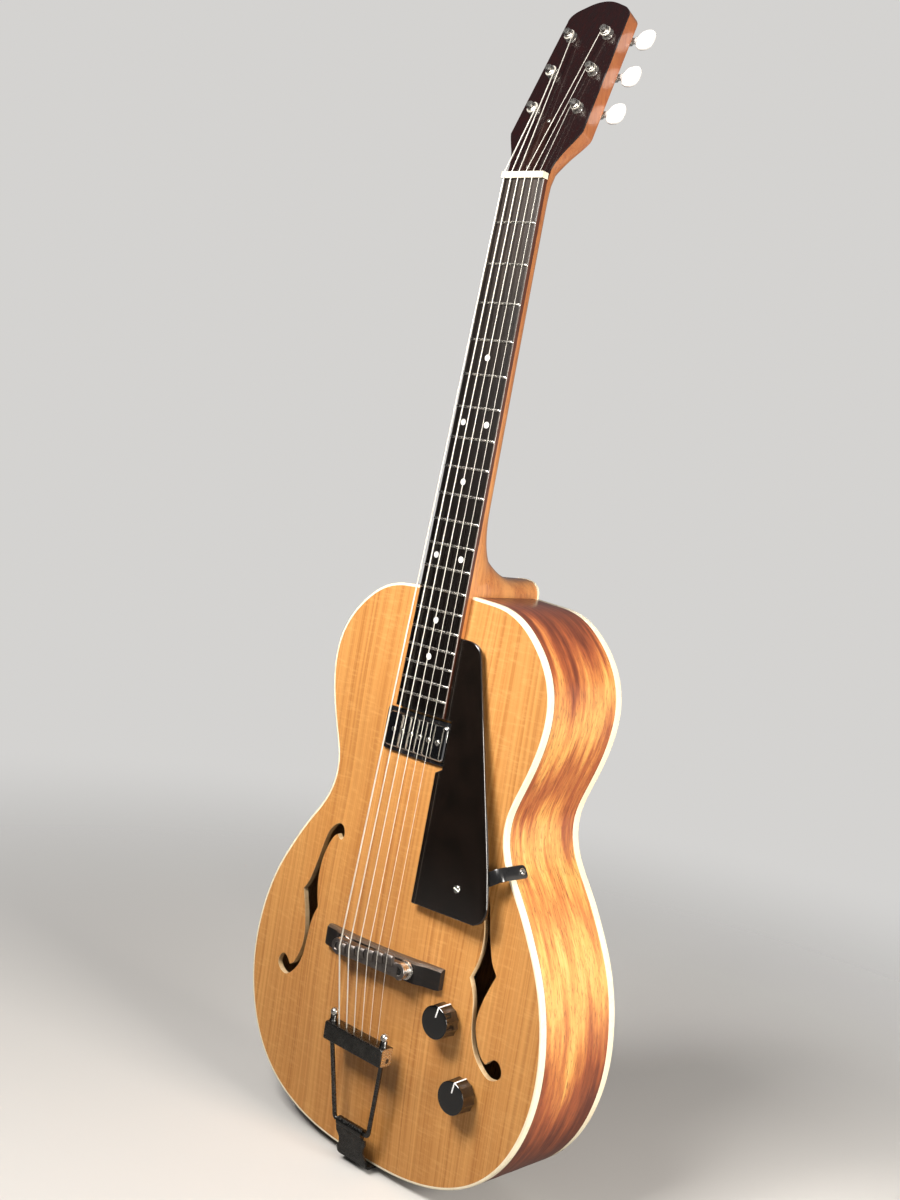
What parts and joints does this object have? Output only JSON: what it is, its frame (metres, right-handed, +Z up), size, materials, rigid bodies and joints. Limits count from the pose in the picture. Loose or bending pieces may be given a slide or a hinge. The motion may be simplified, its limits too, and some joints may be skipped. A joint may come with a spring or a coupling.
{
  "type": "archtop guitar",
  "caption": "Hollow arched-top guitar with f-holes, floating bridge, trapeze tailpiece, pickup by the neck, raised pickguard, control knobs and geared tuners.",
  "frame": {"origin": "axis of the output jack where it meets the tail end of the body, half way through the depth of the sides", "axes": "+Z up the neck, +Y towards the back, so the soundboard faces -Y, +X towards the treble side"},
  "size_m": [0.332, 0.1394, 0.9767],
  "materials": {
    "spruce_top": "honey amber gloss lacquer over straight spruce grain",
    "mahogany": "reddish brown gloss lacquer with light and dark bands",
    "neck_mahogany": "orange brown satin gloss lacquer",
    "plain_wood": "bare pale wood",
    "cream_binding": "aged cream plastic",
    "rosewood": "dark oiled wood",
    "ebony": "near black polished wood",
    "dark_veneer": "very dark burgundy gloss lacquer",
    "bone": "polished bone",
    "pearl_white": "white pearl dots",
    "fret_wire": "polished nickel silver",
    "nickel": "nickel plate",
    "chrome_cover": "bright chrome plate",
    "dark_nickel": "darkened nickel plate",
    "steel": "plain steel",
    "string_wire": "wound and plain string wire",
    "black_plastic": "glossy black plastic",
    "dark_guard": "very dark brown glossy sheet",
    "black_metal": "black painted bent strip",
    "white_button": "glossy white plastic",
    "coil_black": "bobbin and wound coil",
    "cable": "insulated cable and capacitor"
  },
  "bodies": {
    "guitar": {"soundboard": "spruce_top", "back_plate": "mahogany", "ribs": "mahogany", "neck_block": "plain_wood", "tail_block": "plain_wood", "kerfed_linings": "plain_wood", "tone_bars": "plain_wood", "top_binding": "cream_binding", "back_binding": "cream_binding", "neck": "neck_mahogany", "heel_cap": "cream_binding", "fingerboard": "rosewood", "frets": "fret_wire", "dot_inlays": "pearl_white", "nut": "bone", "headstock_veneer": "dark_veneer", "truss_rod": "steel", "truss_rod_cover": "black_plastic", "tuner_plates": "nickel", "tuner_bushings": "nickel", "wood_screws": "nickel", "pickup_cover": "chrome_cover", "pickup_coil": "coil_black", "pickup_poles": "nickel", "pickup_frame": "black_plastic", "pickguard": "dark_guard", "pickguard_bracket": "black_metal", "bridge_base": "ebony", "bridge_bar": "dark_nickel", "bridge_studs": "nickel", "tailpiece_bar": "dark_nickel", "tailpiece_rods": "dark_nickel", "tailpiece_hinge": "dark_nickel", "tailpiece_finials": "dark_nickel", "strings": "string_wire", "output_jack": "nickel", "potentiometers": "steel", "wiring_harness": "cable"},
    "volume_control": {"volume_knob": "black_plastic", "volume_shaft": "steel"},
    "tone_control": {"tone_knob": "black_plastic", "tone_shaft": "steel"},
    "tuner_key_1": {"tuner_worm_1": "nickel", "tuner_button_1": "white_button"},
    "string_post_1": {"tuner_post_1": "nickel"},
    "tuner_key_2": {"tuner_worm_2": "nickel", "tuner_button_2": "white_button"},
    "string_post_2": {"tuner_post_2": "nickel"},
    "tuner_key_3": {"tuner_worm_3": "nickel", "tuner_button_3": "white_button"},
    "string_post_3": {"tuner_post_3": "nickel"},
    "tuner_key_4": {"tuner_worm_4": "nickel", "tuner_button_4": "white_button"},
    "string_post_4": {"tuner_post_4": "nickel"},
    "tuner_key_5": {"tuner_worm_5": "nickel", "tuner_button_5": "white_button"},
    "string_post_5": {"tuner_post_5": "nickel"},
    "tuner_key_6": {"tuner_worm_6": "nickel", "tuner_button_6": "white_button"},
    "string_post_6": {"tuner_post_6": "nickel"}
  },
  "joints": [
    {"name": "volume_turn", "type": "hinge", "parent": "guitar", "child": "volume_control", "pos_m": [0.075, -0.06, 0.1497], "axis": [0, -1, 0], "range_deg": [-150, 150]},
    {"name": "tone_turn", "type": "hinge", "parent": "guitar", "child": "tone_control", "pos_m": [0.0997, -0.06, 0.097], "axis": [0, -1, 0], "range_deg": [-150, 150]},
    {"name": "key_1_turn", "type": "hinge", "parent": "guitar", "child": "tuner_key_1", "pos_m": [0.0222, 0.00889, 0.87354], "axis": [1, 0, 0], "continuous": true},
    {"name": "post_1_turn", "type": "hinge", "parent": "guitar", "child": "string_post_1", "pos_m": [0.0222, -0.00513, 0.86999], "axis": [0, 0.9287, -0.3709], "continuous": true},
    {"name": "key_2_turn", "type": "hinge", "parent": "guitar", "child": "tuner_key_2", "pos_m": [0.0205, 0.02209, 0.9066], "axis": [1, 0, 0], "continuous": true},
    {"name": "post_2_turn", "type": "hinge", "parent": "guitar", "child": "string_post_2", "pos_m": [0.0205, 0.00808, 0.90305], "axis": [0, 0.9287, -0.3709], "continuous": true},
    {"name": "key_3_turn", "type": "hinge", "parent": "guitar", "child": "tuner_key_3", "pos_m": [0.0186, 0.03522, 0.93948], "axis": [1, 0, 0], "continuous": true},
    {"name": "post_3_turn", "type": "hinge", "parent": "guitar", "child": "string_post_3", "pos_m": [0.0186, 0.02121, 0.93592], "axis": [0, 0.9287, -0.3709], "continuous": true},
    {"name": "key_4_turn", "type": "hinge", "parent": "guitar", "child": "tuner_key_4", "pos_m": [-0.0186, 0.03522, 0.93948], "axis": [1, 0, 0], "continuous": true},
    {"name": "post_4_turn", "type": "hinge", "parent": "guitar", "child": "string_post_4", "pos_m": [-0.0186, 0.02121, 0.93592], "axis": [0, 0.9287, -0.3709], "continuous": true},
    {"name": "key_5_turn", "type": "hinge", "parent": "guitar", "child": "tuner_key_5", "pos_m": [-0.0205, 0.02209, 0.9066], "axis": [1, 0, 0], "continuous": true},
    {"name": "post_5_turn", "type": "hinge", "parent": "guitar", "child": "string_post_5", "pos_m": [-0.0205, 0.00808, 0.90305], "axis": [0, 0.9287, -0.3709], "continuous": true},
    {"name": "key_6_turn", "type": "hinge", "parent": "guitar", "child": "tuner_key_6", "pos_m": [-0.0222, 0.00889, 0.87354], "axis": [1, 0, 0], "continuous": true},
    {"name": "post_6_turn", "type": "hinge", "parent": "guitar", "child": "string_post_6", "pos_m": [-0.0222, -0.00513, 0.86999], "axis": [0, 0.9287, -0.3709], "continuous": true}
  ],
  "couplings": [
    {"joint": "post_1_turn", "follows": "key_1_turn", "ratio": -0.071429},
    {"joint": "post_2_turn", "follows": "key_2_turn", "ratio": -0.071429},
    {"joint": "post_3_turn", "follows": "key_3_turn", "ratio": -0.071429},
    {"joint": "post_4_turn", "follows": "key_4_turn", "ratio": -0.071429},
    {"joint": "post_5_turn", "follows": "key_5_turn", "ratio": -0.071429},
    {"joint": "post_6_turn", "follows": "key_6_turn", "ratio": -0.071429}
  ]
}
